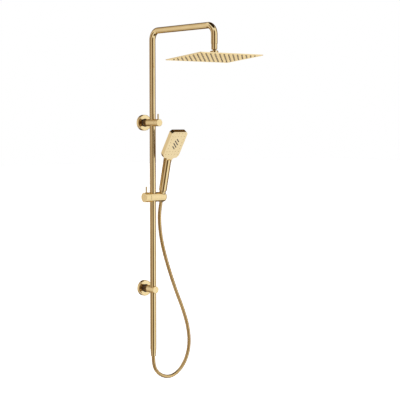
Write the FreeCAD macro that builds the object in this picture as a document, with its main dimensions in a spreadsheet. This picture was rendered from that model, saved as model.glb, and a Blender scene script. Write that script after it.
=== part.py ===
import FreeCAD, Part
import math
import os
import re

import Sketcher

Vector = FreeCAD.Vector
Rotation = FreeCAD.Rotation

# Driving dimensions of the shower column, in millimetres and degrees.
# The wall is the plane y = 0, the room is at -Y, and z = 0 is the height of the water inlet.
SIZES = {
    # column
    "rail_radius": 12.0,
    "rail_wall": 1.5,
    "rail_stand": 64.4,
    "rail_bottom": -895.0,
    "arm_height": 354.5,
    "arm_reach": 380.8,
    "arm_bend": 36.0,
    "drop_bottom": 286.0,
    "socket_gap": 6.6,
    "seal_depth": 1.0,
    "seal_width": 2.0,
    # wall brackets
    "bracket_radius": 14.0,
    "bracket_back": 31.5,
    "lower_height": -656.7,
    "upper_front": 109.9,
    "lower_front": 82.0,
    "flange_radius": 31.2,
    "flange_depth": 14.5,
    "flange_hole": 16.0,
    "flange_skin": 1.8,
    "flange_seal_back": 12.7,
    "flange_seal_front": 15.5,
    "sleeve_radius": 13.0,
    "sleeve_back": 6.0,
    "groove_depth": 1.0,
    "groove_back": 16.0,
    "groove_front": 31.0,
    "groove_count": 4,
    "spigot_front": 43.0,
    "inlet_radius": 10.48,
    "inlet_depth": 15.0,
    "union_radius": 11.0,
    "union_way": 6.0,
    "plate_radius": 26.0,
    "plate_thick": 3.0,
    "plate_hole_r": 2.6,
    "plate_pcd_r": 18.5,
    "boss_radius": 8.0,
    "boss_bore": 5.0,
    "boss_front": 13.5,
    "grub_radius": 2.0,
    "grub_setback": 5.5,
    # diverter
    "knob_seam": 91.0,
    "lever_radius": 3.0,
    "lever_length": 20.0,
    "lever_setback": 9.5,
    "lever_foot": 8.0,
    "fit_gap": 0.05,
    "spool_radius": 6.25,
    "spool_back": 57.0,
    "seal_seat": 72.0,
    "stem_radius": 5.0,
    "stem_front": 103.0,
    "port_size": 9.0,
    "cartridge_radius": 9.0,
    "cartridge_back": 78.0,
    # hose connection under the rail
    "nipple_radius": 9.6,
    "nipple_length": 14.0,
    "hose_way": 5.0,
    "nut_radius": 11.0,
    "nut_length": 28.0,
    # rain head
    "ball_height": 251.0,
    "ball_radius": 9.5,
    "ball_stem": 4.5,
    "shell_radius": 10.75,
    "collar_radius": 15.0,
    "collar_seat": 12.6,
    "head_foot_radius": 21.0,
    "head_tilt": 5.1,
    "head_half_x": 146.0,
    "head_half_y": 103.0,
    "head_corner": 3.0,
    "head_top": -13.2,
    "skin_thick": 0.8,
    "seam_depth": 1.4,
    "mat_depth": 2.4,
    "head_thick": 3.2,
    "top_rim": 3.0,
    "face_rim": 4.0,
    "nozzle_pitch_x": 20.7,
    "nozzle_pitch_y": 23.0,
    "nozzle_columns": 13,
    "nozzle_rows": 8,
    "nozzle_radius": 3.2,
    "nozzle_drop": 2.2,
    # slider
    "slider_height": -291.0,
    "slider_radius": 19.1,
    "slider_left": -19.6,
    "slider_right": 56.4,
    "knob_left": -42.8,
    "knob_face": 6.0,
    "knob_washer_t": 0.7,
    "screw_radius": 4.0,
    "screw_end": -14.5,
    "pin_setback": 11.5,
    "pin_length": 23.0,
    "pin_foot": 10.0,
    "bush_radius": 14.2,
    "bush_sunk": 0.4,
    "holder_offset": 43.5,
    "holder_lean": 14.5,
    "holder_half": 26.0,
    "cone_top_r": 14.8,
    "cone_low_r": 10.8,
    "liner_thick": 1.2,
    "liner_low": -17.5,
    "liner_high": 14.6,
    "hose_slot": 15.6,
    # handset
    "free_gap": 0.3,
    "handle_start": 25.5,
    "handle_length": 128.0,
    "handle_radius": 15.5,
    "handle_bore": 9.5,
    "cone_nut_low": -22.0,
    "face_lean": 33.5,
    "face_width": 76.0,
    "face_length": 135.0,
    "face_thick": 18.0,
    "face_seam": 2.4,
    "face_forward": 2.2,
    "face_chamfer": 8.0,
    "spray_middle": 78.7,
    "neck_half": 13.0,
    "neck_flare": 9.0,
    "shoulder_low": 14.5,
    "shoulder_high": 26.0,
    "mat_thick": 1.2,
    "mat_foot": 17.0,
    "mat_inset": 3.0,
    "shell_wall": 2.5,
    "dot_radius": 1.5,
    "dot_pitch": 13.8,
    "window_width": 32.0,
    "window_length": 58.0,
    "slot_width": 4.4,
    "slit_width": 1.8,
    # hose
    "hose_radius": 7.0,
    "hose_wall": 2.0,
}

# The handset's spray slots: length of each bar, and the step from one to the next
# across and along the face.
SLOT_LENGTHS = [19.0, 29.0, 29.0, 19.0]
SLOT_STEP = (2.6, 11.2)

# The hose's centreline, by hand: across (x), out of the wall from the rail's axis, and height.
HOSE_ROUTE = [
    (43.5, -5.5, -312.3),
    (43.5, -14.5, -347.1),
    (44.8, -18.2, -384.0),
    (46.0, -15.5, -424.0),
    (50.5, -10.5, -470.0),
    (60.5, -5.5, -520.0),
    (77.0, 3.0, -585.0),
    (102.5, 13.0, -668.0),
    (133.5, 23.0, -750.0),
    (152.5, 32.0, -828.0),
    (152.0, 37.0, -896.0),
    (133.0, 37.0, -951.0),
    (101.5, 34.0, -991.0),
    (61.0, 29.0, -1011.0),
    (17.0, 20.0, -999.0),
    (-6.0, 8.0, -963.0),
    (0.0, 0.0, -923.0),
]
TOP_SPLIT = 2       # the run after this point holds the joint between the first two hose nodes
MIDDLE_SPLIT = 4    # and this one the joint between the second and the third

doc = FreeCAD.newDocument("ShowerColumn")
sheet = doc.addObject("Spreadsheet::Sheet", "Sizes")
for row, (alias, number) in enumerate(SIZES.items(), start=1):
    sheet.set("A%d" % row, alias)
    sheet.set("B%d" % row, str(number))
    sheet.setAlias("B%d" % row, alias)
doc.recompute()

PIECES = {}


def size(alias):
    """A driving dimension, read back from the sheet."""
    return float(sheet.get(alias))


def bound(expression):
    """The expression as objects other than the sheet write it."""
    return re.sub(r"\b([a-z]+_[a-z_]+)\b", r"Sizes.\1", str(expression))


def value(expression):
    """The number that an expression of the sheet's aliases gives."""
    return float(sheet.evalExpression(str(expression)))


def named(node, thing):
    """Give a finished sub-part its node name and keep it for export."""
    thing.Label = node
    PIECES[node] = thing
    return thing


def origin_plane(body, role):
    return next(item for item in body.Origin.OriginFeatures if item.Role == role)


def outline_sketch(body, name, role, points):
    """A closed outline of straight edges whose corners are bound to the sheet."""
    sketch = body.newObject("Sketcher::SketchObject", name)
    sketch.AttachmentSupport = [(origin_plane(body, role), "")]
    sketch.MapMode = "FlatFace"
    corners = [Vector(value(a), value(b), 0) for a, b in points]
    total = len(corners)
    for index in range(total):
        sketch.addGeometry(Part.LineSegment(corners[index], corners[(index + 1) % total]), False)
    for index in range(total):
        sketch.addConstraint(Sketcher.Constraint("Coincident", index, 2, (index + 1) % total, 1))
    for index, (a, b) in enumerate(points):
        for kind, expression, number in (
            ("DistanceX", a, corners[index].x),
            ("DistanceY", b, corners[index].y),
        ):
            which = sketch.addConstraint(Sketcher.Constraint(kind, -1, 1, index, 1, number))
            label = "%s%d" % (kind[-1].lower(), index)
            sketch.renameConstraint(which, label)
            sketch.setExpression("Constraints." + label, bound(expression))
    return sketch


def turned_body(name, points, place=None):
    """A turned piece: radius and height pairs revolved about the local Z axis."""
    body = doc.addObject("PartDesign::Body", name)
    sketch = outline_sketch(body, name + "_outline", "XZ_Plane", points)
    turn = body.newObject("PartDesign::Revolution", name + "_turn")
    turn.Profile = sketch
    turn.ReferenceAxis = (sketch, ["V_Axis"])
    turn.Angle = 360
    body.Tip = turn
    if place is not None:
        body.Placement = place
    return body


def turned(node, points, place=None):
    return named(node, turned_body(node, points, place))


def rod(name, radius, length, place):
    """A plain cylinder along its own Z axis."""
    thing = doc.addObject("Part::Cylinder", name)
    thing.setExpression("Radius", bound(radius))
    thing.setExpression("Height", bound(length))
    thing.Placement = place
    return thing


def block(name, length, width, height, place):
    """A box centred on its own X and Y and standing on z = 0."""
    thing = doc.addObject("Part::Box", name)
    thing.setExpression("Length", bound(length))
    thing.setExpression("Width", bound(width))
    thing.setExpression("Height", bound(height))
    centre = Vector(-value(length) / 2, -value(width) / 2, 0)
    thing.Placement = place.multiply(FreeCAD.Placement(centre, Rotation()))
    return thing


def cut(name, base, tools):
    """The base less every tool, one after another."""
    result = base
    for step, tool in enumerate(tools, start=1):
        before = result
        result = doc.addObject("Part::Cut", "%s_%d" % (name, step))
        result.Base = before
        result.Tool = tool
    return result


def overlap_of(name, first, second):
    result = doc.addObject("Part::Common", name)
    result.Base = first
    result.Tool = second
    return result


def fused(name, things):
    result = doc.addObject("Part::MultiFuse", name)
    result.Shapes = things
    return result


def at(x, y, z, axis=Vector(0, 0, 1), angle=0.0):
    return FreeCAD.Placement(Vector(x, y, z), Rotation(axis, angle))


def off_wall(height, distance=0.0):
    """Local Z runs out of the wall, local Y runs up."""
    return at(0, -distance, height, Vector(1, 0, 0), 90)


def along_x(x, y, z):
    """Local Z runs along +X."""
    return at(x, y, z, Vector(0, 1, 0), 90)


def ring(outer, inner, low, high):
    """The outline of a plain ring."""
    return [(inner, low), (outer, low), (outer, high), (inner, high)]


def arc_outline(radius, first, last, steps):
    """Points on a circle about the origin, by polar angle from +Z, as radius and height."""
    points = []
    for step in range(steps + 1):
        angle = math.radians(first + (last - first) * step / steps)
        points.append((radius * math.sin(angle), radius * math.cos(angle)))
    return points


def grooves(outer, depth, low, high, count):
    """Square grooves round a turned piece, from low to high."""
    points = []
    pitch = (high - low) / count
    for index in range(count):
        start = low + index * pitch
        points += [(outer, start), (outer - depth, start + 0.25 * pitch)]
        points += [(outer - depth, start + 0.7 * pitch), (outer, start + 0.95 * pitch)]
    return points


def neck_grooves():
    """The grooves round the neck of either wall bracket."""
    return grooves(size("sleeve_radius"), size("groove_depth"), size("groove_back"),
                   size("groove_front"), int(size("groove_count")))


def liner_radius(level):
    """Outside radius of the holder's liner at a level along its leaning axis."""
    half = size("holder_half")
    low = size("cone_low_r")
    return low + (size("cone_top_r") - low) * (level + half) / (2 * half)


RAIL_Y = -size("rail_stand")
DROP_Y = RAIL_Y - size("arm_reach")
BODY_R = "bracket_radius"
TUBE_BORE = "rail_radius - rail_wall"


# ---------------------------------------------------------------- upper bracket and diverter
def upper_bracket():
    place = off_wall(0)
    turned("inlet_union", [("inlet_radius", 0), ("sleeve_radius", 0)] + neck_grooves() + [
        ("sleeve_radius", "bracket_back"), ("union_radius", "bracket_back"),
        ("union_radius", "spigot_front"), ("union_way", "spigot_front"),
        ("union_way", "inlet_depth + 1"), ("inlet_radius", "inlet_depth + 1")], place)
    wall_flange("upper_wall_flange", place)
    flange_seal("upper_flange_seal", place)
    solid = turned_body("upper_body_blank", [
        (0, "bracket_back"), ("bracket_radius - 0.5", "bracket_back"),
        (BODY_R, "bracket_back + 0.5"), (BODY_R, "knob_seam - free_gap"),
        (0, "knob_seam - free_gap")], place)
    socket = turned_body("union_socket", [
        (0, "bracket_back"), ("union_radius", "bracket_back"), ("union_radius", "spigot_front"),
        ("union_way", "spigot_front"), ("union_way", "spool_back - 1"),
        ("spool_radius + fit_gap", "spool_back - 1"), ("spool_radius + fit_gap", "cartridge_back"),
        ("cartridge_radius", "cartridge_back"), ("cartridge_radius", "knob_seam + 0.5"),
        (0, "knob_seam + 0.5")], place)
    reach = 30
    up = rod("arm_socket", "rail_radius", reach, at(0, RAIL_Y, size("socket_gap")))
    down = rod("rail_socket", "rail_radius", reach, at(0, RAIL_Y, -size("socket_gap") - reach))
    named("upper_bracket_body", cut("upper_body", solid, [socket, up, down]))
    turned("diverter_cartridge", ring("cartridge_radius", "stem_radius + fit_gap", "cartridge_back",
                                      "knob_seam - free_gap"), place)
    diverter(place)


def diverter(place):
    """The knob that turns to send the water up or down, and all that turns with it."""
    neck = "stem_radius - 1.4"
    spool = turned_body("spool_blank", [
        (0, "spool_back"), ("spool_radius", "spool_back"), ("spool_radius", "seal_seat - 0.5"),
        (neck, "seal_seat"), (neck, "seal_seat + 1.4"), ("stem_radius", "seal_seat + 1.8"),
        ("stem_radius", "stem_front"), (0, "stem_front")], place)
    port = block("spool_port", 14, "port_size", "port_size", off_wall(-6.5, size("spool_back") + 2.8))
    named("diverter_spool", cut("spool_cut", spool, [port]))
    turned("spool_seal", ring("spool_radius", "stem_radius - 1.35", "seal_seat + 0.1",
                              "seal_seat + 1.3"), place)
    knob = turned_body("knob_blank", [
        (0, "stem_front"), ("stem_radius", "stem_front"), ("stem_radius", "knob_seam"),
        ("bracket_radius - 0.4", "knob_seam"), (BODY_R, "knob_seam + 0.4"),
        (BODY_R, "upper_front - 0.8"), ("bracket_radius - 0.8", "upper_front"),
        (0, "upper_front")], place)
    lever_place = at(0, size("lever_setback") - size("upper_front"), size("lever_foot"))
    pin_hole = rod("lever_hole", "lever_radius", 20, lever_place)
    grub_y = -size("knob_seam") - size("grub_setback")
    grub_hole = rod("grub_hole", "grub_radius", 20, at(0, grub_y, -20 - size("stem_radius")))
    named("diverter_knob", cut("knob_cut", knob, [pin_hole, grub_hole]))
    named("diverter_lever", lever_pin("lever", "bracket_radius - lever_foot + lever_length", lever_place))
    named("diverter_grub_screw", grub_screw("knob_grub", 8, at(0, grub_y, 0.8 - size(BODY_R))))


def lever_pin(name, length, place):
    """A short pin with a softly rounded tip."""
    tip = value(length)
    outline = [(0, 0), ("lever_radius", 0), ("lever_radius", tip - 1.0),
               ("lever_radius - 0.3", tip - 0.3), ("lever_radius - 1", tip), (0, tip)]
    return turned_body(name, outline, place)


def grub_screw(name, length, place):
    """A headless screw with a six-sided socket in its lower end."""
    blank = rod(name + "_blank", "grub_radius", length, place)
    socket = doc.addObject("Part::Prism", name + "_socket")
    socket.Polygon = 6
    socket.setExpression("Circumradius", bound("grub_radius * 0.55"))
    socket.setExpression("Height", bound("grub_radius"))
    socket.Placement = place
    return cut(name, blank, [socket])


def wall_flange(node, place):
    """A thin round cup that hides the hole in the wall."""
    turned(node, [
        ("flange_radius - 2", 0), ("flange_radius", 0), ("flange_radius", "flange_depth - 2.2"),
        ("flange_radius - 0.6", "flange_depth - 0.9"), ("flange_radius - 2", "flange_depth"),
        ("flange_hole", "flange_depth"), ("flange_hole", "flange_depth - flange_skin"),
        ("flange_radius - 3.2", "flange_depth - flange_skin"),
        ("flange_radius - 2", "flange_depth - 3")], place)


def flange_seal(node, place):
    turned(node, ring("flange_hole", "sleeve_radius", "flange_seal_back", "flange_seal_front"), place)


# ---------------------------------------------------------------- lower bracket
def lower_bracket():
    height = size("lower_height")
    place = off_wall(height)
    plate = turned_body("plate_blank", [
        (0, 0), ("plate_radius", 0), ("plate_radius", "plate_thick"), ("boss_radius", "plate_thick"),
        ("boss_radius", "boss_front"), ("boss_bore", "boss_front"), ("boss_bore", "plate_thick - 1"),
        (0, "plate_thick - 1")], place)
    holes = []
    for index in range(3):
        angle = math.radians(90 + 120 * index)
        across = size("plate_pcd_r") * math.cos(angle)
        up = size("plate_pcd_r") * math.sin(angle)
        holes.append(rod("plate_hole_%d" % index, "plate_hole_r", 8,
                         at(across, 2, height + up, Vector(1, 0, 0), 90)))
    named("lower_wall_plate", cut("plate_cut", plate, holes))
    wall_flange("lower_wall_flange", place)
    flange_seal("lower_flange_seal", place)
    turned("lower_adjusting_sleeve", [
        ("boss_radius", "sleeve_back"), ("sleeve_radius", "sleeve_back")] + neck_grooves() + [
        ("sleeve_radius", "bracket_back"), ("boss_radius", "bracket_back"),
        ("boss_radius", "spigot_front"), ("boss_bore", "spigot_front"), ("boss_bore", "boss_front"),
        ("boss_radius", "boss_front")], place)
    blank = turned_body("lower_body_blank", [
        (0, "bracket_back"), ("bracket_radius - 0.5", "bracket_back"),
        (BODY_R, "bracket_back + 0.5"), (BODY_R, "lower_front - 0.8"),
        ("bracket_radius - 0.8", "lower_front"), (0, "lower_front")], place)
    socket = rod("sleeve_socket", "boss_radius", "spigot_front - bracket_back",
                 off_wall(height, size("bracket_back")))
    through = rod("rail_through", "rail_radius", 40, at(0, RAIL_Y, height - 20))
    grub_y = -size("bracket_back") - size("grub_setback")
    grub = rod("body_grub_hole", "grub_radius", 12, at(0, grub_y, height - 18))
    named("lower_bracket_body", cut("lower_body", blank, [socket, through, grub]))
    named("bracket_grub_screw", grub_screw("body_grub", 5.2, at(0, grub_y, height - 13.3)))


# ---------------------------------------------------------------- arm, rail and outlet
def path_wire(points, radii):
    """Straight runs joined by tangent arcs; returns the wire."""
    edges = []
    here = points[0]
    for before, corner, after, radius in zip(points, points[1:], points[2:], radii):
        back = (before - corner).normalize()
        onward = (after - corner).normalize()
        turn = math.pi - back.getAngle(onward)
        reach = radius * math.tan(turn / 2)
        start = corner + back * reach
        finish = corner + onward * reach
        inward = (back + onward).normalize()
        middle = corner + inward * (radius / math.cos(turn / 2) - radius)
        edges.append(Part.LineSegment(here, start).toShape())
        edges.append(Part.Arc(start, middle, finish).toShape())
        here = finish
    edges.append(Part.LineSegment(here, points[-1]).toShape())
    return Part.Wire(edges)


def swept(wire, radius):
    """A round bar along a wire that starts in a straight run."""
    first = wire.Edges[0]
    start = first.valueAt(first.FirstParameter)
    direction = first.tangentAt(first.FirstParameter)
    circle = Part.Wire([Part.Circle(start, direction, radius).toShape()])
    return wire.makePipeShell([circle], True, True)


def tube_along(node, wire, outer, inner):
    """A tube swept along a wire, checked against its section times its length."""
    shape = swept(wire, outer).cut(swept(wire, inner))
    expected = math.pi * (outer ** 2 - inner ** 2) * wire.Length
    print("%s: length %.1f mm, volume is %.4f of section times length" % (
        node, wire.Length, shape.Volume / expected))
    feature = doc.addObject("Part::Feature", node)
    feature.Shape = shape
    feature.Placement = at(0, 0, 0)
    return named(node, feature)


def column():
    top = size("arm_height")
    arm = path_wire([
        Vector(0, RAIL_Y, size("socket_gap")), Vector(0, RAIL_Y, top), Vector(0, DROP_Y, top),
        Vector(0, DROP_Y, size("drop_bottom"))], [size("arm_bend")] * 2)
    tube_along("gooseneck_arm", arm, size("rail_radius"), value(TUBE_BORE))
    upright = at(0, RAIL_Y, 0)
    turned("slide_rail", ring("rail_radius", TUBE_BORE, "rail_bottom", "-socket_gap"), upright)
    turned("rail_outlet_nipple", [
        ("hose_way", "rail_bottom - nipple_length"), ("nipple_radius", "rail_bottom - nipple_length"),
        ("nipple_radius", "rail_bottom"), (TUBE_BORE, "rail_bottom")]
        + seal_groove("rail_bottom + 3") + [
        (TUBE_BORE, "rail_bottom + 12"), ("hose_way", "rail_bottom + 12")], upright)
    turned("outlet_seal_ring", seal_ring("rail_bottom + 3"), upright)
    turned("hose_bottom_nut", [
        ("hose_way", "rail_bottom - nut_length"), ("nipple_radius - 0.8", "rail_bottom - nut_length"),
        ("nipple_radius - 0.2", "rail_bottom - nut_length + 0.6"),
        ("nut_radius", "rail_bottom - 6"), ("nut_radius", "rail_bottom - 0.6"),
        ("nut_radius - 0.4", "rail_bottom - 0.2"), ("nipple_radius", "rail_bottom - 0.2"),
        ("nipple_radius", "rail_bottom - nipple_length - 2"),
        ("hose_way", "rail_bottom - nipple_length - 2")], upright)
    turned("hose_bottom_washer", ring("nipple_radius - 0.1", "hose_way",
                                      "rail_bottom - nipple_length - 2",
                                      "rail_bottom - nipple_length"), upright)


def seal_groove(low):
    """The groove for a sealing ring in a fitting that plugs into the tube."""
    high = "%s + seal_width" % low
    floor = TUBE_BORE + " - seal_depth"
    return [(TUBE_BORE, low), (floor, low), (floor, high), (TUBE_BORE, high)]


def seal_ring(low):
    """The ring that fills such a groove."""
    return ring(TUBE_BORE, TUBE_BORE + " - seal_depth", low, "%s + seal_width" % low)


# ---------------------------------------------------------------- rain head and its ball joint
def rain_head():
    ball_z = size("ball_height")
    straight = at(0, DROP_Y, 0)
    turned("arm_adapter", [
        ("ball_stem", "ball_height + 13.4"), (9.2, "ball_height + 13.4"), (10, "ball_height + 14.4"),
        ("nut_radius", "ball_height + 15.4"), ("nut_radius", "drop_bottom - 0.4"),
        ("nut_radius - 0.4", "drop_bottom"), (TUBE_BORE, "drop_bottom")]
        + seal_groove("drop_bottom + 4") + [
        (TUBE_BORE, "drop_bottom + 15"), (7, "drop_bottom + 15"), (7, "ball_height + 19"),
        ("ball_stem", "ball_height + 19")], straight)
    turned("adapter_seal_ring", seal_ring("drop_bottom + 4"), straight)
    ball_r = size("ball_radius")
    water = 3.0
    under = math.degrees(math.acos(-8.61 / ball_r))
    neck_r = 5.98
    ball = arc_outline(ball_r, math.degrees(math.asin(neck_r / ball_r)), under, 16)
    turned("ball_stud", [(water, ball[-1][1])] + ball[::-1] + [
        (neck_r, 13.4), ("ball_stem", 13.4), ("ball_stem", 18.9), (water, 18.9)], at(0, DROP_Y, ball_z))
    inside = ball_r + size("fit_gap")
    outside = size("shell_radius")
    turned("ball_ring", arc_outline(inside, 60, 84, 4) + arc_outline(outside, 84, 60, 4),
           at(0, DROP_Y, ball_z))
    lean = at(0, DROP_Y, ball_z, Vector(1, 0, 0), -size("head_tilt"))
    turned("ball_seat", arc_outline(inside, 108, 145, 6) + arc_outline(outside, 145, 108, 6), lean)
    pocket = outside + size("fit_gap")
    cup = arc_outline(pocket, 155, 91, 10)
    turned("head_socket", [("ball_stem", "head_top"), ("ball_stem", cup[0][1])] + cup + [
        ("collar_seat", cup[-1][1]), ("collar_seat", -9.6), ("head_foot_radius - 2", -10.2),
        ("head_foot_radius", -11.4), ("head_foot_radius", "head_top")], lean)
    turned("collar_nut", [(9.7, 9)] + arc_outline(pocket, 56, 90, 6) + [
        ("collar_seat", 0), ("collar_seat", -8), ("collar_radius - 0.8", -8), ("collar_radius", -7.2),
        ("collar_radius", 8), ("collar_radius - 1", 9)], lean)
    plates(lean)


def rounded_plate(name, half_x, half_y, corner, low, high, lean, inset=0.0):
    """A flat plate with rounded corners, from low to high in the head's own frame."""
    body = doc.addObject("PartDesign::Body", name)
    sketch = body.newObject("Sketcher::SketchObject", name + "_outline")
    sketch.AttachmentSupport = [(origin_plane(body, "XY_Plane"), "")]
    sketch.MapMode = "FlatFace"
    a, b, r = half_x - inset, half_y - inset, corner
    corners = [(a, b, 0), (-a, b, 90), (-a, -b, 180), (a, -b, 270)]
    points = []
    for x, y, start in corners:
        centre = Vector(x - math.copysign(r, x), y - math.copysign(r, y), 0)
        arc = Part.ArcOfCircle(Part.Circle(centre, Vector(0, 0, 1), r), math.radians(start),
                               math.radians(start + 90))
        sketch.addGeometry(arc, False)
        points.append((arc.StartPoint, arc.EndPoint))
    for index in range(4):
        sketch.addGeometry(Part.LineSegment(points[index][1], points[(index + 1) % 4][0]), False)
    for index in range(4):
        sketch.addConstraint(Sketcher.Constraint("Tangent", index, 2, 4 + index, 1))
        sketch.addConstraint(Sketcher.Constraint("Tangent", 4 + index, 2, (index + 1) % 4, 1))
    for index in range(3):
        sketch.addConstraint(Sketcher.Constraint("Equal", index, index + 1))
    sketch.addConstraint(Sketcher.Constraint("Symmetric", 0, 3, 2, 3, -1, 1))
    sketch.addConstraint(Sketcher.Constraint("Horizontal", 4))
    sketch.addConstraint(Sketcher.Constraint("Radius", 0, r))
    sketch.addConstraint(Sketcher.Constraint("DistanceX", 4, 2, 4, 1, 2 * (a - r)))
    sketch.addConstraint(Sketcher.Constraint("DistanceY", 5, 2, 5, 1, 2 * (b - r)))
    pad = body.newObject("PartDesign::Pad", name + "_pad")
    pad.Profile = sketch
    pad.Length = high - low
    body.Tip = pad
    body.Placement = lean.multiply(at(0, 0, low))
    return body


def lattice(columns, rows, pitch_x, pitch_y, skip=lambda column, line: False):
    """Centres of a regular grid about the origin."""
    return [((column - (columns - 1) / 2) * pitch_x, (line - (rows - 1) / 2) * pitch_y)
            for column in range(columns) for line in range(rows) if not skip(column, line)]


def upright_pin(start_r, end_r, foot, rise):
    """A rod, or a cone where the two radii differ."""
    if abs(start_r - end_r) < 1e-6:
        return Part.makeCylinder(start_r, rise.Length, foot, rise)
    return Part.makeCone(start_r, end_r, rise.Length, foot, rise)


def cones(name, centres, low_r, high_r, low, high, place):
    """One compound of small upright pins."""
    shapes = [upright_pin(low_r, high_r, Vector(x, y, low), Vector(0, 0, high - low))
              for x, y in centres]
    feature = doc.addObject("Part::Feature", name)
    feature.Shape = Part.makeCompound(shapes)
    feature.Placement = place
    return feature


def plates(lean):
    """The two skins of the rain head and the soft nozzle mat between them."""
    half_x, half_y, corner = size("head_half_x"), size("head_half_y"), size("head_corner")
    centres = lattice(int(size("nozzle_columns")), int(size("nozzle_rows")),
                      size("nozzle_pitch_x"), size("nozzle_pitch_y"))
    nozzle = size("nozzle_radius")
    top = size("head_top")
    skin = top - size("skin_thick")
    seam = top - size("seam_depth")
    mat_low = top - size("mat_depth")
    face_low = top - size("head_thick")
    tip = face_low - size("nozzle_drop")
    overlap = 0.1
    top_skin = rounded_plate("top_skin", half_x, half_y, corner, seam, top, lean)
    hollow = rounded_plate("top_hollow", half_x, half_y, corner, seam - overlap, skin, lean,
                           size("top_rim"))
    inlet = rod("head_inlet", "ball_stem", 6, lean.multiply(at(0, 0, top - 4)))
    named("head_top_plate", cut("top_plate_cut", top_skin, [hollow, inlet]))
    mat = rounded_plate("mat_sheet", half_x, half_y, corner, mat_low, seam, lean, size("face_rim"))
    tips = cones("mat_tips", centres, nozzle - 0.8, nozzle, tip, mat_low + 0.3, lean)
    bores = cones("mat_bores", centres, 0.6, 1.0, tip - 0.3, seam + 0.2, lean)
    named("head_nozzle_mat", cut("mat_cut", fused("mat_blank", [mat, tips]), [bores]))
    face = rounded_plate("face_blank", half_x, half_y, corner, face_low, seam, lean)
    recess = rounded_plate("face_recess", half_x, half_y, corner, mat_low, seam + overlap, lean,
                           size("face_rim"))
    holes = cones("face_holes", centres, nozzle, nozzle, face_low - 0.5, mat_low + overlap, lean)
    named("head_face_plate", cut("face_cut", face, [recess, holes]))


# ---------------------------------------------------------------- slider
def slider():
    height = size("slider_height")
    axis_place = along_x(0, RAIL_Y, height)
    bore_r = "rail_radius + fit_gap"
    bush_r = "bush_radius - fit_gap"
    bush = turned_body("bush_blank", ring(bush_r, bore_r, "-slider_radius", "slider_radius"),
                       at(0, RAIL_Y, height))
    trim = rod("bush_trim", "slider_radius - bush_sunk", 60, along_x(-30, RAIL_Y, height))
    named("slider_bush", overlap_of("bush_cut", bush, trim))
    blank = turned_body("slider_blank", [
        (0, "slider_left"), ("slider_radius - 0.4", "slider_left"),
        ("slider_radius", "slider_left + 0.4"), ("slider_radius", "slider_right - 4"),
        ("slider_radius - 1.2", "slider_right - 1.2"), ("slider_radius - 4", "slider_right"),
        (0, "slider_right")], axis_place)
    bore = rod("bush_bore", "bush_radius", 50, at(0, RAIL_Y, height - 25))
    screw = rod("clamp_bore", "screw_radius + fit_gap", 10,
                along_x(size("slider_left") - 1, RAIL_Y, height))
    holder = at(size("holder_offset"), RAIL_Y, height, Vector(1, 0, 0), size("holder_lean"))
    cone = turned_body("holder_cone", [
        (0, "-holder_half"), ("cone_low_r", "-holder_half"), ("cone_top_r", "holder_half"),
        (0, "holder_half")], holder)
    slot = block("holder_slot", 30, "hose_slot", 60, holder.multiply(at(15, 0, -30)))
    named("slider_body", cut("slider_cut", blank, [bore, screw, cone, slot]))
    holder_sleeve(holder, slot)
    knob_back = "slider_left - knob_washer_t"
    knob_floor = "knob_left + knob_face"
    turned("knob_washer", ring("slider_radius - 1", "screw_radius + 0.6", knob_back, "slider_left"),
           axis_place)
    knob = turned_body("clamp_knob_blank", [
        (0, "knob_left"), ("slider_radius - 0.9", "knob_left"), ("slider_radius", "knob_left + 0.9"),
        ("slider_radius", knob_back + " - 0.4"), ("slider_radius - 0.4", knob_back),
        ("screw_radius", knob_back), ("screw_radius", knob_floor), (0, knob_floor)], axis_place)
    pin_place = at(size("knob_left") + size("pin_setback"), RAIL_Y, height + size("pin_foot"))
    pin_hole = rod("knob_pin_hole", "lever_radius", 20, pin_place)
    named("clamp_knob", cut("clamp_knob_cut", knob, [pin_hole]))
    named("clamp_knob_pin", lever_pin("knob_pin", "slider_radius - pin_foot + pin_length", pin_place))
    turned("clamp_screw", [
        (0, knob_floor), ("screw_radius", knob_floor), ("screw_radius", "screw_end - 0.6"),
        ("screw_radius - 0.8", "screw_end"), (0, "screw_end")], axis_place)


def holder_sleeve(holder, slot):
    """The plastic liner of the handset's cone, open along the hose slot."""
    low, high, thick = size("liner_low"), size("liner_high"), size("liner_thick")
    sleeve = turned_body("sleeve_blank", [
        (liner_radius(low) - thick, low), (liner_radius(low), low), (liner_radius(high), high),
        (liner_radius(high) - thick, high)], holder)
    named("holder_sleeve", cut("sleeve_cut", sleeve, [slot]))


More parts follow.
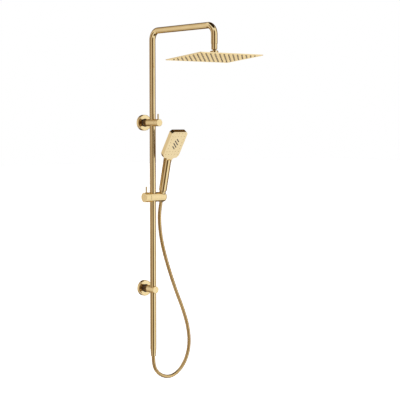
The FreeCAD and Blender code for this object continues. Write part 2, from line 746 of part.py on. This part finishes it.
# ---------------------------------------------------------------- handset
def handset():
    """Everything that lifts out of the holder, in the holder's own leaning frame."""
    lean = size("holder_lean")
    base = at(size("holder_offset"), RAIL_Y, size("slider_height"), Vector(1, 0, 0), lean)

    def cone_r(level):
        return liner_radius(level) - size("liner_thick") - size("free_gap")

    start = size("handle_start")
    nut_top = "handle_start - 0.4"
    washer_low, washer_high = 8, 10
    turned("hose_cone_nut", [
        ("hose_way", "cone_nut_low"), ("hose_radius + 0.6", "cone_nut_low"), (cone_r(-19), -19),
        (cone_r(20), 20), (cone_r(20), nut_top), ("handle_bore", nut_top), ("handle_bore", washer_low),
        ("hose_way", washer_low)], base)
    turned("hose_top_washer", ring("handle_bore - 0.1", "hose_way", washer_low, washer_high), base)
    handle_top = "handle_start + handle_length"
    turned("handset_handle", [
        ("hose_way", washer_high), ("handle_bore", washer_high), ("handle_bore", "handle_start"),
        ("handle_radius - 1.5", "handle_start"), ("handle_radius", "handle_start + 1.5"),
        ("handle_radius", handle_top), ("handle_bore - 0.5", handle_top),
        ("handle_bore - 0.5", "handle_start + 8"), ("hose_way", "handle_start + 8")], base)
    turned("handset_flow_washer", ring("handle_bore - 0.6", 3, start + 8.2, start + 11), base)
    top = value(handle_top)
    bend = size("face_lean") - lean
    face = base.multiply(at(0, 0, top, Vector(1, 0, 0), bend)).multiply(
        at(0, -size("face_forward"), 0))
    handle_space = rod("handle_space", "handle_radius + 0.02", 60, base.multiply(at(0, 0, top - 60)))
    handset_head(face, handle_space)


def head_outline(inset):
    """Half of the shield-shaped head, from the neck up, as across and along."""
    wide = size("face_width") / 2 - inset
    top = size("face_length") - inset
    chamfer = size("face_chamfer")
    neck, flare = size("neck_half"), size("neck_flare")
    outline = [(neck - inset, inset)]
    for degrees in (0, 30, 60, 90):
        angle = math.radians(degrees)
        outline.append((neck + flare - flare * math.cos(angle) - inset,
                        flare / 2 + flare * math.sin(angle) + inset))
    return outline + [(wide - chamfer, size("shoulder_low") + inset),
                      (wide, size("shoulder_high") + inset),
                      (wide, top - chamfer), (wide - chamfer, top)]


def head_slab(name, inset, low, high, corner, place, base=0.0):
    """The head's outline, standing up its own Z and thick along Y."""
    right = [(x, z) for x, z in head_outline(inset) if z >= base]
    outline = right + [(-x, z) for x, z in reversed(right)]
    wire = Part.makePolygon([Vector(x, low, z) for x, z in outline + outline[:1]])
    shape = Part.Face(wire).extrude(Vector(0, high - low, 0))
    upright = [edge for edge in shape.Edges
               if abs(edge.tangentAt(edge.FirstParameter).y) > 0.99
               and edge.BoundBox.ZMin > size("face_length") / 5]
    feature = doc.addObject("Part::Feature", name)
    feature.Shape = shape.makeFillet(corner, upright)
    feature.Placement = place
    return feature


def window_block(name, width, length, low, high, place):
    shape = Part.makeBox(width, high - low, length, Vector(-width / 2, low, -length / 2))
    feature = doc.addObject("Part::Feature", name)
    feature.Shape = shape
    feature.Placement = place
    return feature


def dots(name, centres, root_r, tip_r, low, high, place):
    """Small pins along Y at grid points of the handset's face."""
    shapes = [upright_pin(tip_r, root_r, Vector(x, low, z), Vector(0, high - low, 0))
              for x, z in centres]
    feature = doc.addObject("Part::Feature", name)
    feature.Shape = Part.makeCompound(shapes)
    feature.Placement = place
    return feature


def slots(name, width, low, high, place):
    """The spray slots: parallel bars at 45 degrees, stacked up the face."""
    step_x, step_z = SLOT_STEP
    shapes = []
    for index, length in enumerate(SLOT_LENGTHS):
        bar = Part.makeBox(length, high - low, width, Vector(-length / 2, low, -width / 2))
        bar.rotate(Vector(0, 0, 0), Vector(0, 1, 0), 45)
        along = index - (len(SLOT_LENGTHS) - 1) / 2
        bar.translate(Vector(step_x * along, 0, step_z * along))
        shapes.append(bar)
    feature = doc.addObject("Part::Feature", name)
    feature.Shape = Part.makeCompound(shapes)
    feature.Placement = place
    return feature


def handset_head(face, handle_space):
    """The flat spray head: back shell, soft dot mat, slot insert and front plate."""
    half = size("face_thick") / 2
    seam = size("face_seam") - half
    mat_front = seam - size("mat_thick")
    middle = size("spray_middle")
    pitch = size("dot_pitch")
    centres = [(x, z + middle) for x, z in lattice(
        5, 8, pitch, pitch, lambda column, line: 1 <= column <= 3 and 2 <= line <= 5)]
    centre = face.multiply(at(0, 0, middle))
    corner, inner_corner = 3, 2
    shell = head_slab("back_blank", 0, seam, half, corner, face)
    hollow = head_slab("back_hollow", size("shell_wall"), seam - 0.5, half - 2, inner_corner, face,
                       size("shoulder_high"))
    front = window_block("front_space", 90, 90, -half - 30, seam, face)
    way = rod("neck_way", "hose_way", 30, face.multiply(at(0, 4, 2, Vector(1, 0, 0), 8)))
    named("handset_back_shell", cut("back_cut", fused("back_fused", [shell, neck_loft(face)]),
                                    [hollow, front, handle_space, way]))
    inset, foot = size("mat_inset"), size("mat_foot")
    mat = head_slab("hand_mat_blank", inset, mat_front, seam, inner_corner, face, foot)
    dot = size("dot_radius")
    tips = dots("hand_tips", centres, dot, dot - 0.2, -half - 0.5, seam - 1.0, face)
    wide, tall = size("window_width"), size("window_length")
    window = window_block("mat_window", wide, tall, -half - 1, half, centre)
    named("handset_nozzle_mat", cut("hand_mat_cut", fused("hand_mat_fused", [mat, tips]), [window]))
    plate = head_slab("face_slab", 0, -half, seam, corner, face)
    pocket = head_slab("face_pocket", inset, mat_front, seam + 1, inner_corner, face, foot)
    holes = dots("face_dot_holes", centres, dot, dot, -half - 1, seam - 1.0, face)
    opening = slots("face_slots", size("slot_width"), -half - 1, seam - 0.8, centre)
    named("handset_face_plate", cut("face_plate_cut", plate, [pocket, holes, opening, handle_space]))
    insert = window_block("insert_blank", wide - 1, tall - 1, mat_front, seam + 0.6, centre)
    slits = slots("insert_slits", size("slit_width"), -half - 1, half, centre)
    named("handset_slot_insert", cut("insert_cut", insert, [slits]))


def neck_loft(face):
    """The shoulder from the round handle to the back of the flat head."""
    tilt = size("face_lean") - size("holder_lean")
    handle_ring = Part.Wire([Part.Circle(Vector(0, 0, 0), Vector(0, 0, 1),
                                         size("handle_radius") - 0.02).toShape()])
    handle_ring.Placement = at(0, size("face_forward"), 0, Vector(1, 0, 0), -tilt)
    sections = [(8.0, 2.0, 15.2, 12.2), (15.0, 0.8, 16.0, 9.6), (24.0, 0.3, 18.0, 7.6)]
    wires = [handle_ring]
    for level, behind, half_width, half_depth in sections:
        ellipse = Part.Ellipse(Vector(0, behind, level), half_width, half_depth)
        wires.append(Part.Wire([ellipse.toShape()]))
    feature = doc.addObject("Part::Feature", "neck_loft")
    feature.Shape = Part.makeLoft(wires, True, False)
    feature.Placement = face
    return feature


# ---------------------------------------------------------------- hose
def hose():
    points = [Vector(x, RAIL_Y - out, z) for x, out, z in HOSE_ROUTE]
    radii = []
    for before, corner, after in zip(points, points[1:], points[2:]):
        shorter = min(before.distanceToPoint(corner), corner.distanceToPoint(after))
        turn = (corner - before).getAngle(after - corner)
        radii.append(0.45 * shorter / math.tan(turn / 2))
    print("hose radii:", [round(radius) for radius in radii])
    print("hose runs:", [round(a.distanceToPoint(b)) for a, b in zip(points, points[1:])])
    outer = size("hose_radius")
    inner = outer - size("hose_wall")
    joint_a = (points[TOP_SPLIT] + points[TOP_SPLIT + 1]) * 0.5
    joint_b = (points[MIDDLE_SPLIT] + points[MIDDLE_SPLIT + 1]) * 0.5
    spans = [
        ("hose_top", points[:TOP_SPLIT + 1] + [joint_a], radii[:TOP_SPLIT]),
        ("hose_middle", [joint_a] + points[TOP_SPLIT + 1:MIDDLE_SPLIT + 1] + [joint_b],
         radii[TOP_SPLIT:MIDDLE_SPLIT]),
        ("hose_lower", [joint_b] + points[MIDDLE_SPLIT + 1:], radii[MIDDLE_SPLIT:]),
    ]
    total = 0.0
    for node, route, bends in spans:
        wire = path_wire(route, bends)
        total += wire.Length
        tube_along(node, wire, outer, inner)
    print("hose length in view: %.1f mm" % total)


def check_and_write():
    doc.recompute()
    for thing in doc.Objects:
        if "Invalid" in thing.State or "Error" in thing.State:
            raise RuntimeError("%s failed: %s" % (thing.Name, thing.State))
    os.makedirs("parts", exist_ok=True)
    for node, thing in PIECES.items():
        shape = thing.Shape
        if shape.isNull() or not shape.isValid() or not shape.Solids:
            raise RuntimeError("%s has no valid solid" % node)
        shape.exportStep("parts/%s.step" % node)
        box = shape.BoundBox
        print("%-24s %d solid, %9.0f mm3, x %.1f %.1f y %.1f %.1f z %.1f %.1f" % (
            node, len(shape.Solids), shape.Volume, box.XMin, box.XMax, box.YMin, box.YMax,
            box.ZMin, box.ZMax))
    print(len(PIECES), "nodes")


upper_bracket()
lower_bracket()
column()
rain_head()
slider()
handset()
hose()
check_and_write()
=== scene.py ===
import math

import bpy
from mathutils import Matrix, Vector


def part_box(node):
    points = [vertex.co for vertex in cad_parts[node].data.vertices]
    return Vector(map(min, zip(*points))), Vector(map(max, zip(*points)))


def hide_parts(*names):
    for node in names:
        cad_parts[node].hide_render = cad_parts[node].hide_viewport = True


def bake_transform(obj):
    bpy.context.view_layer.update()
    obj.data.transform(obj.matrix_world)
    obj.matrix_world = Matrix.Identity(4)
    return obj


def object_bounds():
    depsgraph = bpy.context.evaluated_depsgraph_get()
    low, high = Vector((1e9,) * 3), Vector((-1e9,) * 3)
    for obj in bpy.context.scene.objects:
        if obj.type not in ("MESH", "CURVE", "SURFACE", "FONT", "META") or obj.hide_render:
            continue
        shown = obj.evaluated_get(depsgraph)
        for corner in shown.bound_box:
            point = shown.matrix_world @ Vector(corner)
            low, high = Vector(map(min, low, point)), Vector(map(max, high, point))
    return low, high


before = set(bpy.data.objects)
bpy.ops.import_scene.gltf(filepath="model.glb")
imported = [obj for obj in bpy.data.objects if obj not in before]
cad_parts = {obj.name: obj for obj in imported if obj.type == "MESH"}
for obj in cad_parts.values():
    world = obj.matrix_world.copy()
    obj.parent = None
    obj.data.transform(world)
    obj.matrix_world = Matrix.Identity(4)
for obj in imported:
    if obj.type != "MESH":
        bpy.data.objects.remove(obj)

# Everything is in metres and in the shower column's own frame: the wall is y = 0, the room is
# at -Y, +Z is up and the origin is the mouth of the water inlet.
SOLID_BOX = [list(corner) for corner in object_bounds()]

RAIL_LOW, RAIL_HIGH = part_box("slide_rail")
RAIL_Y = (RAIL_LOW[1] + RAIL_HIGH[1]) / 2
OBJECT_BOTTOM = SOLID_BOX[0][2]

HOSE_DIAMETER = 0.014
HOSE_RIB_PITCH = 0.0048
HOSE_RIB_DEPTH = 0.0004
HOSE_RIB_FULLNESS = 0.55        # lower makes the ribs fuller and the grooves sharper
HOSE_SIDES = 28
HOSE_STEPS_PER_RIB = 8
HOSE_STILL_HEIGHT = -0.905      # height of the lower hose's still point

# The hose's route: across, out of the wall from the rail's axis, and height.
HOSE_ROUTE = [
    (0.0435, -0.0055, -0.3123),
    (0.0435, -0.0145, -0.3471),
    (0.0448, -0.0182, -0.3840),
    (0.0460, -0.0155, -0.4240),
    (0.0505, -0.0105, -0.4700),
    (0.0605, -0.0055, -0.5200),
    (0.0770, 0.0030, -0.5850),
    (0.1025, 0.0130, -0.6680),
    (0.1335, 0.0230, -0.7500),
    (0.1525, 0.0320, -0.8280),
    (0.1520, 0.0370, -0.8960),
    (0.1330, 0.0370, -0.9510),
    (0.1015, 0.0340, -0.9910),
    (0.0610, 0.0290, -1.0110),
    (0.0170, 0.0200, -0.9990),
    (-0.0060, 0.0080, -0.9630),
    (0.0000, 0.0000, -0.9230),
]
# The hose is split halfway from these points of the route to the next.
TOP_SPLIT = 2
MIDDLE_SPLIT = 4

# The camera's place, its tilt down and turn to the right in degrees, and its lens in mm.
CAMERA_PLACE = (-2.6614, RAIL_Y - 3.6494, 0.0025)
CAMERA_DOWN = 4.492
CAMERA_YAW = 38.449
CAMERA_LENS = 103.69
CAMERA_SHIFT = 0.0314


# ------------------------------------------------------------------ camera
def make_camera():
    data = bpy.data.cameras.new("photo_camera")
    data.sensor_width = 36.0
    data.lens = CAMERA_LENS
    data.shift_y = CAMERA_SHIFT
    camera = bpy.data.objects.new("photo_camera", data)
    camera.location = CAMERA_PLACE
    camera.rotation_euler = (math.radians(90 - CAMERA_DOWN), 0, math.radians(-CAMERA_YAW))
    bpy.context.collection.objects.link(camera)
    bpy.context.scene.camera = camera


# ------------------------------------------------------------------ node helpers
def new_material(name):
    """A material with its node tree, its shader and a helper to add nodes."""
    material = bpy.data.materials.new(name)
    material.use_nodes = True
    tree = material.node_tree
    shader = tree.nodes["Principled BSDF"]
    return material, tree, shader


def stretched_noise(tree, stretch, scale, detail=4.0):
    """Noise in object coordinates, stretched by a scale per axis."""
    coordinates = tree.nodes.new("ShaderNodeTexCoord")
    mapping = tree.nodes.new("ShaderNodeMapping")
    mapping.inputs["Scale"].default_value = stretch
    noise = tree.nodes.new("ShaderNodeTexNoise")
    noise.inputs["Scale"].default_value = scale
    noise.inputs["Detail"].default_value = detail
    tree.links.new(coordinates.outputs["Object"], mapping.inputs["Vector"])
    tree.links.new(mapping.outputs["Vector"], noise.inputs["Vector"])
    return noise


def spread(tree, source, low, high):
    """The 0 to 1 output of a texture, spread from low to high."""
    node = tree.nodes.new("ShaderNodeMapRange")
    node.inputs["From Min"].default_value = 0.3
    node.inputs["From Max"].default_value = 0.7
    node.inputs["To Min"].default_value = low
    node.inputs["To Max"].default_value = high
    tree.links.new(source, node.inputs["Value"])
    return node.outputs["Result"]


def two_tones(tree, source, dark, light):
    """The 0 to 1 output of a texture as a colour from dark to light."""
    ramp = tree.nodes.new("ShaderNodeValToRGB")
    ramp.color_ramp.elements[0].position = 0.32
    ramp.color_ramp.elements[0].color = (*dark, 1)
    ramp.color_ramp.elements[1].position = 0.68
    ramp.color_ramp.elements[1].color = (*light, 1)
    tree.links.new(source, ramp.inputs["Fac"])
    return ramp.outputs["Color"]


def bump(tree, shader, source, depth, strength):
    """Raise the surface by a texture, to a depth in metres."""
    node = tree.nodes.new("ShaderNodeBump")
    node.inputs["Strength"].default_value = strength
    node.inputs["Distance"].default_value = depth
    tree.links.new(source, node.inputs["Height"])
    tree.links.new(node.outputs["Normal"], shader.inputs["Normal"])


# Gold plating: its two tones, and its tint where it is seen along the surface.
GOLD_LIGHT = (0.85, 0.68, 0.385)
GOLD_DARK = (0.80, 0.625, 0.335)
GOLD_EDGE = (0.62, 0.44, 0.24)
# How noise is stretched for a grain along each axis.
ALONG = {"x": (0.02, 1, 1), "y": (1, 0.02, 1), "z": (1, 1, 0.02)}


def brushed_gold(name, grain, rough=0.15, light=GOLD_LIGHT, dark=GOLD_DARK, edge=GOLD_EDGE):
    """Satin gold plating over metal, with a fine brushed grain along one axis."""
    material, tree, shader = new_material(name)
    shader.inputs["Metallic"].default_value = 1.0
    shader.inputs["Specular Tint"].default_value = (*edge, 1)
    lines = stretched_noise(tree, ALONG[grain], 2600.0, 3.0)
    clouds = stretched_noise(tree, (1, 1, 1), 22.0, 5.0)
    tree.links.new(two_tones(tree, clouds.outputs["Fac"], dark, light), shader.inputs["Base Color"])
    tree.links.new(spread(tree, lines.outputs["Fac"], rough - 0.015, rough + 0.015),
                   shader.inputs["Roughness"])
    bump(tree, shader, lines.outputs["Fac"], 0.000004, 0.15)
    return material


def plain_surface(name, dark, light, rough, metallic=0.0, scale=300.0, depth=0.00002):
    """Rubber, plastic or bare metal with a fine mottle."""
    material, tree, shader = new_material(name)
    shader.inputs["Metallic"].default_value = metallic
    mottle = stretched_noise(tree, (1, 1, 1), scale, 5.0)
    tree.links.new(two_tones(tree, mottle.outputs["Fac"], dark, light), shader.inputs["Base Color"])
    tree.links.new(spread(tree, mottle.outputs["Fac"], rough - 0.06, rough + 0.08),
                   shader.inputs["Roughness"])
    bump(tree, shader, mottle.outputs["Fac"], depth, 0.4)
    return material


# ------------------------------------------------------------------ hose
def spline_points(route, name):
    """Points along one smooth spline whose control points are the route."""
    data = bpy.data.curves.new(name, "CURVE")
    data.dimensions = "3D"
    spline = data.splines.new("NURBS")
    spline.points.add(len(route) - 1)
    for point, place in zip(spline.points, route):
        point.co = (*place, 1.0)
    spline.order_u = 3
    spline.use_endpoint_u = True
    spline.resolution_u = 60
    holder = bpy.data.objects.new(name, data)
    bpy.context.collection.objects.link(holder)
    bpy.context.view_layer.update()
    mesh = bpy.data.meshes.new_from_object(holder)
    points = [vertex.co.copy() for vertex in mesh.vertices]
    bpy.data.objects.remove(holder)
    return points


def evenly(points, step):
    """The same line with points a fixed distance apart."""
    lengths = [0.0]
    for a, b in zip(points, points[1:]):
        lengths.append(lengths[-1] + (b - a).length)
    count = max(2, round(lengths[-1] / step))
    result = []
    index = 0
    for number in range(count + 1):
        target = lengths[-1] * number / count
        while index < len(points) - 2 and lengths[index + 1] < target:
            index += 1
        span = lengths[index + 1] - lengths[index]
        part = (target - lengths[index]) / span if span > 0 else 0.0
        result.append(points[index].lerp(points[index + 1], part))
    return result, lengths[-1]


def side_frames(path):
    """A pair of side directions at each point, carried along without twisting."""
    frames = []
    side = Vector((0, 1, 0))
    for index, point in enumerate(path):
        after = path[min(index + 1, len(path) - 1)]
        before = path[max(index - 1, 0)]
        along = (after - before).normalized()
        side = (side - along * side.dot(along)).normalized()
        frames.append((side, along.cross(side)))
    return frames


def ribbed_tube(name, path, frames, start_turns):
    """A hose of rounded metal ribs wound round a path, closed at both ends."""
    step_angle = 2 * math.pi / HOSE_SIDES
    verts, faces = [], []
    for index, (point, (side, other)) in enumerate(zip(path, frames)):
        for turn in range(HOSE_SIDES):
            angle = turn * step_angle
            phase = start_turns + index / HOSE_STEPS_PER_RIB - turn / HOSE_SIDES
            rib = abs(math.sin(math.pi * phase)) ** HOSE_RIB_FULLNESS
            radius = HOSE_DIAMETER / 2 - HOSE_RIB_DEPTH * (1 - rib)
            verts.append(point + (side * math.cos(angle) + other * math.sin(angle)) * radius)
    for index in range(len(path) - 1):
        for turn in range(HOSE_SIDES):
            a = index * HOSE_SIDES + turn
            b = index * HOSE_SIDES + (turn + 1) % HOSE_SIDES
            faces.append((a, b, b + HOSE_SIDES, a + HOSE_SIDES))
    faces.append(tuple(range(HOSE_SIDES))[::-1])
    last = (len(path) - 1) * HOSE_SIDES
    faces.append(tuple(range(last, last + HOSE_SIDES)))
    mesh = bpy.data.meshes.new(name)
    mesh.from_pydata(verts, [], faces)
    mesh.shade_smooth()
    obj = bpy.data.objects.new(name, mesh)
    bpy.context.collection.objects.link(obj)
    return obj


def nearest_index(path, place):
    """Which point of the path is nearest to a place."""
    return min(range(len(path)), key=lambda index: (path[index] - place).length)


def make_hose():
    """One hose in three lengths, so that each can follow one joint."""
    route = [Vector((x, RAIL_Y - out, z)) for x, out, z in HOSE_ROUTE]
    step = HOSE_RIB_PITCH / HOSE_STEPS_PER_RIB
    path, total = evenly(spline_points(route, "hose_route"), step)
    frames = side_frames(path)
    first = nearest_index(path, (route[TOP_SPLIT] + route[TOP_SPLIT + 1]) / 2)
    second = nearest_index(path, (route[MIDDLE_SPLIT] + route[MIDDLE_SPLIT + 1]) / 2)
    metal = brushed_gold("hose_metal", "z", 0.13, (0.70, 0.51, 0.25), (0.62, 0.43, 0.19))
    still = Vector((path[second].x, path[second].y, HOSE_STILL_HEIGHT))
    spans = [
        ("hose_top", 0, first, "handset", "slider", path[first], "fitting", ["hose_cone_nut"]),
        ("hose_middle", first, second, "slider", "slider_bush", path[second], "object", []),
        ("hose_lower", second, len(path) - 1, "slider_bush", "column", still, "fitting",
         ["hose_bottom_nut"]),
    ]
    for node, start, finish, upper, lower, blend_end, ending, with_nodes in spans:
        part = path[start:finish + 1]
        piece = ribbed_tube(node + "_ribs", part, frames[start:finish + 1],
                            start / HOSE_STEPS_PER_RIB)
        piece.data.materials.append(metal)
        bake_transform(piece)
        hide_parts(node)
    print("hose length %.3f m" % total)


# ------------------------------------------------------------------ finishes
def make_finishes():
    """Each finish with the CAD nodes that wear it."""
    upright = brushed_gold("gold_tube", "z", 0.1)
    out = brushed_gold("gold_out_of_wall", "y", 0.13)
    across = brushed_gold("gold_across", "x", 0.13)
    plate = brushed_gold("gold_plate", "x", 0.2, (0.87, 0.71, 0.43), (0.84, 0.67, 0.39),
                         (1.0, 0.86, 0.55))
    # Painted shade: the neck sleeve, union and slider bush get brass coloured dark brown, standing in
    # for the shade in these recesses.
    neck = plain_surface("brass_painted_shade", (0.16, 0.09, 0.035), (0.30, 0.18, 0.08), 0.32, 1.0)
    brass = plain_surface("machined_brass", (0.62, 0.44, 0.2), (0.75, 0.55, 0.28), 0.28, 1.0)
    rubber = plain_surface("seal_rubber", (0.018, 0.014, 0.01), (0.035, 0.028, 0.02), 0.6)
    liner = plain_surface("liner_plastic", (0.03, 0.024, 0.018), (0.055, 0.045, 0.035), 0.42)
    silicone = plain_surface("nozzle_silicone", (0.23, 0.19, 0.14), (0.30, 0.255, 0.19), 0.55)
    dots = plain_surface("dot_silicone", (0.28, 0.19, 0.09), (0.38, 0.27, 0.14), 0.5)
    grey = plain_surface("spray_grey", (0.15, 0.135, 0.125), (0.21, 0.19, 0.175), 0.5)
    steel = plain_surface("steel", (0.45, 0.44, 0.42), (0.6, 0.59, 0.57), 0.3, 1.0)
    return [
        (upright, ["gooseneck_arm", "slide_rail", "hose_bottom_nut", "arm_adapter", "collar_nut",
                   "head_socket", "hose_cone_nut", "handset_handle", "handset_back_shell",
                   "diverter_lever", "clamp_knob_pin"]),
        (out, ["upper_wall_flange", "lower_wall_flange", "upper_bracket_body",
               "lower_bracket_body", "diverter_knob"]),
        (across, ["slider_body", "clamp_knob"]),
        (plate, ["handset_face_plate", "head_top_plate", "head_face_plate"]),
        # painted shade: the dark brown brass on these three parts
        (neck, ["inlet_union", "lower_adjusting_sleeve", "slider_bush"]),
        (brass, ["rail_outlet_nipple", "ball_stud", "diverter_spool"]),
        (rubber, ["upper_flange_seal", "lower_flange_seal", "spool_seal", "outlet_seal_ring",
                  "adapter_seal_ring", "hose_bottom_washer", "hose_top_washer",
                  "handset_flow_washer"]),
        (liner, ["diverter_cartridge", "ball_ring", "ball_seat", "holder_sleeve", "knob_washer"]),
        (silicone, ["head_nozzle_mat"]),
        (dots, ["handset_nozzle_mat"]),
        (grey, ["handset_slot_insert"]),
        (steel, ["diverter_grub_screw", "bracket_grub_screw", "lower_wall_plate", "clamp_screw"]),
    ]


def dress(node, material):
    """Put one material on a CAD node."""
    if not node.material_slots:
        node.data.materials.append(None)
    for place in node.material_slots:
        place.link = "OBJECT"
        place.material = material


def dress_nodes():
    """Give every CAD node its finish."""
    for material, names in make_finishes():
        for name in names:
            dress(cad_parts[name], material)


# ------------------------------------------------------------------ room
# Brightness of the surroundings by direction, in degrees to the right of the camera's side.
SURROUNDINGS = [
    (-180, 1.05), (-173, 1.05), (-168, 0.28), (-150, 0.28), (-126, 0.32), (-114, 0.78),
    (-99, 0.92), (-90, 0.27), (-52, 0.29), (-42, 0.76), (-16, 0.72), (-7, 0.13), (32, 0.12),
    (40, 1.05), (78, 1.10), (98, 0.74), (112, 0.42), (124, 0.28), (168, 0.28), (173, 1.05),
    (180, 1.05),
]
# Their brightness away from the horizon: steeply up or down on the camera's side, the same
# past the object, high overhead and underfoot. A band is where one blends into the next, by
# the direction's height from -1 to 1 or, past the object, by how far it points that way.
STEEP_NEAR = 1.05
STEEP_BAND = (0.45, 0.75)
STEEP_FAR = 0.13
PAST_BAND = (0.43, 0.56)
PAST_STEEP_BAND = (0.24, 0.42)
OVERHEAD = 0.02
OVERHEAD_BAND = (0.77, 0.86)
UNDERFOOT = 0.10
UNDERFOOT_BAND = (-0.84, -0.92)
# Past the object, a little to the right: away from the camera, to the right, up.
PAST_DIRECTION = (-1.0, 0.29, 0.0)
FLOOR_HALF = 40.0
FLOOR_DROP = 0.9


def warm(level):
    """Bright surroundings are white, dark ones a warm brown."""
    lift = min(1.0, level)
    return (level, level * (0.58 + 0.43 * lift), level * (0.20 + 0.81 * lift), 1)


def eased(tree, source, none, full):
    """0 on one side of none, 1 on the other side of full, smooth between."""
    node = tree.nodes.new("ShaderNodeMapRange")
    node.interpolation_type = "SMOOTHSTEP"
    node.inputs["From Min"].default_value = none
    node.inputs["From Max"].default_value = full
    tree.links.new(source, node.inputs["Value"])
    return node.outputs["Result"]


def calculated(tree, operation, first, second=None):
    """The result of one sum on one or two outputs."""
    node = tree.nodes.new("ShaderNodeMath")
    node.operation = operation
    tree.links.new(first, node.inputs[0])
    if second is not None:
        tree.links.new(second, node.inputs[1])
    return node.outputs["Value"]


def mixed(tree, amount, first, second):
    """First where the amount is 0, second where it is 1; each a colour or an output."""
    node = tree.nodes.new("ShaderNodeMixRGB")
    tree.links.new(amount, node.inputs["Fac"])
    for socket, colour in (("Color1", first), ("Color2", second)):
        if isinstance(colour, tuple):
            node.inputs[socket].default_value = colour
        else:
            tree.links.new(colour, node.inputs[socket])
    return node.outputs["Color"]


def make_world():
    """Surroundings that the metal reflects; the camera itself sees plain white."""
    world = bpy.data.worlds.new("studio")
    bpy.context.scene.world = world
    world.use_nodes = True
    tree = world.node_tree
    links = tree.links
    coordinates = tree.nodes.new("ShaderNodeTexCoord")
    turned = tree.nodes.new("ShaderNodeMapping")
    turned.inputs["Rotation"].default_value = (0, 0, math.radians(90 + CAMERA_YAW))
    links.new(coordinates.outputs["Generated"], turned.inputs["Vector"])
    around = tree.nodes.new("ShaderNodeTexGradient")
    around.gradient_type = "RADIAL"
    links.new(turned.outputs["Vector"], around.inputs["Vector"])
    ramp = tree.nodes.new("ShaderNodeValToRGB")
    links.new(around.outputs["Fac"], ramp.inputs["Fac"])
    stops = ramp.color_ramp.elements
    while len(stops) < len(SURROUNDINGS):
        stops.new(0.5)
    for stop, (degrees, level) in zip(stops, SURROUNDINGS):
        stop.position = degrees / 360 + 0.5
        stop.color = warm(level)
    parts = tree.nodes.new("ShaderNodeSeparateXYZ")
    links.new(turned.outputs["Vector"], parts.inputs["Vector"])
    steepness = calculated(tree, "ABSOLUTE", parts.outputs["Z"])
    steep = eased(tree, steepness, *STEEP_BAND)
    room = mixed(tree, steep, ramp.outputs["Color"], warm(STEEP_NEAR))
    beyond = tree.nodes.new("ShaderNodeVectorMath")
    beyond.operation = "DOT_PRODUCT"
    beyond.inputs[1].default_value = PAST_DIRECTION
    links.new(turned.outputs["Vector"], beyond.inputs[0])
    past = calculated(tree, "MULTIPLY", eased(tree, beyond.outputs["Value"], *PAST_BAND),
                      eased(tree, steepness, *PAST_STEEP_BAND))
    room = mixed(tree, past, room, warm(STEEP_FAR))
    height = parts.outputs["Z"]
    room = mixed(tree, eased(tree, height, *OVERHEAD_BAND), room, warm(OVERHEAD))
    room = mixed(tree, eased(tree, height, *UNDERFOOT_BAND), room, warm(UNDERFOOT))
    path = tree.nodes.new("ShaderNodeLightPath")
    shown = mixed(tree, path.outputs["Is Camera Ray"], room, (1.0, 1.0, 1.0, 1))
    links.new(shown, tree.nodes["Background"].inputs["Color"])


def make_floor():
    """A plain pale floor, well below the column, which hangs on its wall."""
    mesh = bpy.data.meshes.new("floor")
    half = FLOOR_HALF
    level = OBJECT_BOTTOM - FLOOR_DROP
    corners = [(-half, -half, level), (half, -half, level), (half, half, level), (-half, half, level)]
    mesh.from_pydata(corners, [], [(0, 1, 2, 3)])
    floor = bpy.data.objects.new("floor", mesh)
    bpy.context.collection.objects.link(floor)
    material, tree, shader = new_material("pale_floor")
    shader.inputs["Base Color"].default_value = (0.93, 0.93, 0.93, 1)
    shader.inputs["Roughness"].default_value = 0.9
    shader.inputs["Emission Color"].default_value = (1, 1, 1, 1)
    shader.inputs["Emission Strength"].default_value = 0.85
    floor.data.materials.append(material)
    floor.visible_glossy = False


def soft_light(name, place, target, width, power):
    """A square soft light aimed at the target, which metal doesn't mirror."""
    data = bpy.data.lights.new(name, "AREA")
    data.shape = "SQUARE"
    data.size = width
    data.energy = power
    light = bpy.data.objects.new(name, data)
    light.location = place
    light.rotation_euler = (Vector(target) - Vector(place)).to_track_quat("-Z", "Y").to_euler()
    light.visible_glossy = False
    bpy.context.collection.objects.link(light)


def make_lights():
    """A key light from the left and above, and a fill from the right."""
    middle = (0.0, -0.2, -0.3)
    soft_light("key_light", (-2.0, -3.0, 1.6), middle, 1.6, 60.0)
    soft_light("fill_light", (2.6, -2.6, 0.4), middle, 2.0, 40.0)


make_camera()
make_hose()
dress_nodes()
make_world()
make_floor()
make_lights()
bpy.context.scene.view_settings.view_transform = "Standard"
